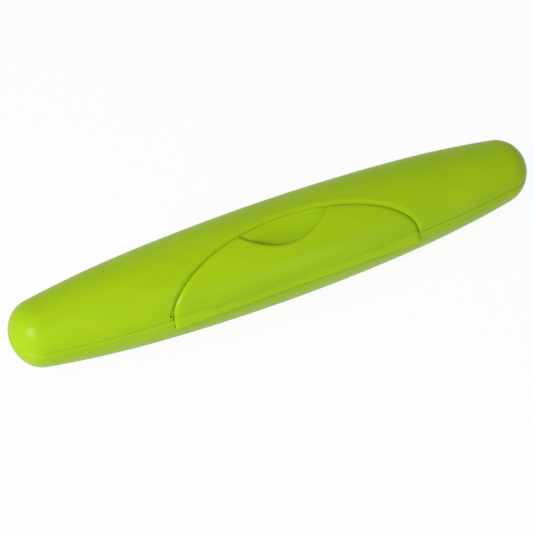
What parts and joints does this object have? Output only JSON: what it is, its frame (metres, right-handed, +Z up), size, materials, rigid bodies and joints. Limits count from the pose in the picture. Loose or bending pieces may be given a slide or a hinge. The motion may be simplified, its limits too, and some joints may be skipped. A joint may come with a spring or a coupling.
{
  "type": "toothbrush case",
  "caption": "Slim hinged toothbrush case of two shells, with a latch flap and a finger dish in the front of the lid.",
  "frame": {"origin": "centre of the flat foot, under the middle of the case", "axes": "+X along the case, -Y towards the latch flap, +Y towards the hinge, +Z up"},
  "size_m": [0.21, 0.0408, 0.0349],
  "materials": {
    "case_plastic": "satin",
    "pin_steel": "satin"
  },
  "bodies": {
    "base": {"base_shell": "case_plastic", "hinge_pin_left": "pin_steel", "hinge_pin_right": "pin_steel"},
    "lid": {"lid_shell": "case_plastic"},
    "flap": {"latch_flap": "case_plastic", "latch_pin_left": "pin_steel", "latch_pin_right": "pin_steel"}
  },
  "joints": [
    {"name": "lid_hinge", "type": "hinge", "parent": "base", "child": "lid", "pos_m": [0, 0.02022, 0.0175], "axis": [-1, 0, 0], "range_deg": [0, 180]},
    {"name": "latch_hinge", "type": "hinge", "parent": "lid", "child": "flap", "pos_m": [0, -0.0169, 0.0165], "axis": [1, 0, 0], "range_deg": [0, 90]}
  ]
}
